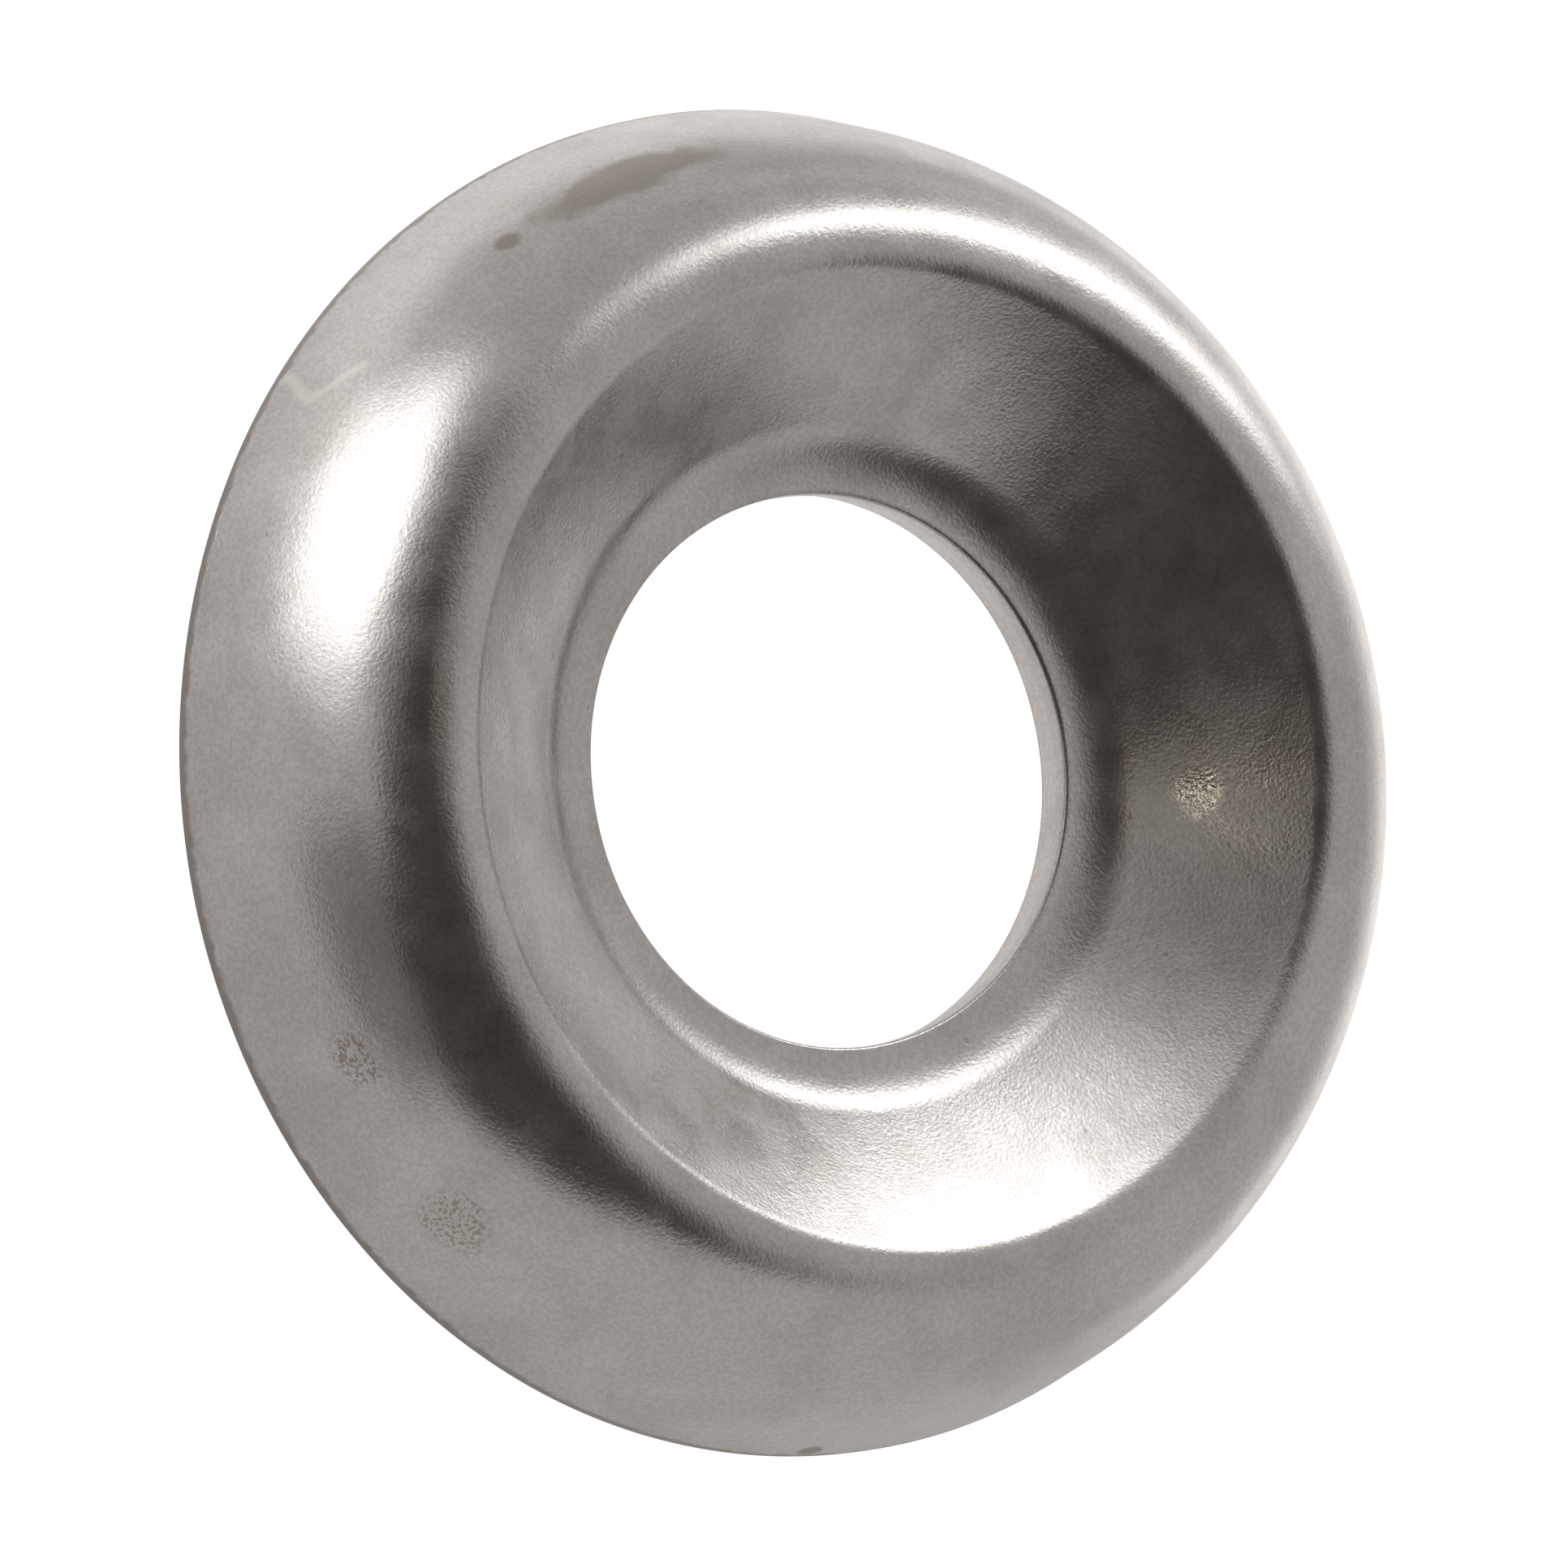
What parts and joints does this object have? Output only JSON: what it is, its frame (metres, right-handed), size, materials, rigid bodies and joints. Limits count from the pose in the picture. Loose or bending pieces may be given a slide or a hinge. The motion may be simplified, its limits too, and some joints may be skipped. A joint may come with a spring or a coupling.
{
  "type": "finishing washer",
  "caption": "Raised countersunk finishing washer pressed from sheet, with a rounded rim, a conical seat for a flat-head screw and a flat base.",
  "frame": {"origin": "centre of the base plane, on the screw axis", "axes": "+Z along the screw axis, from the base plane towards the crest and the screw head; X and Y are in the base plane and equivalent, as the part is round"},
  "size_m": [0.0126, 0.0126, 0.0025],
  "materials": {
    "stainless_steel": "tumbled, satin to semi-bright, with fine grain and small handling marks"
  },
  "bodies": {
    "root": {"finishing_washer": "stainless_steel"}
  },
  "joints": []
}
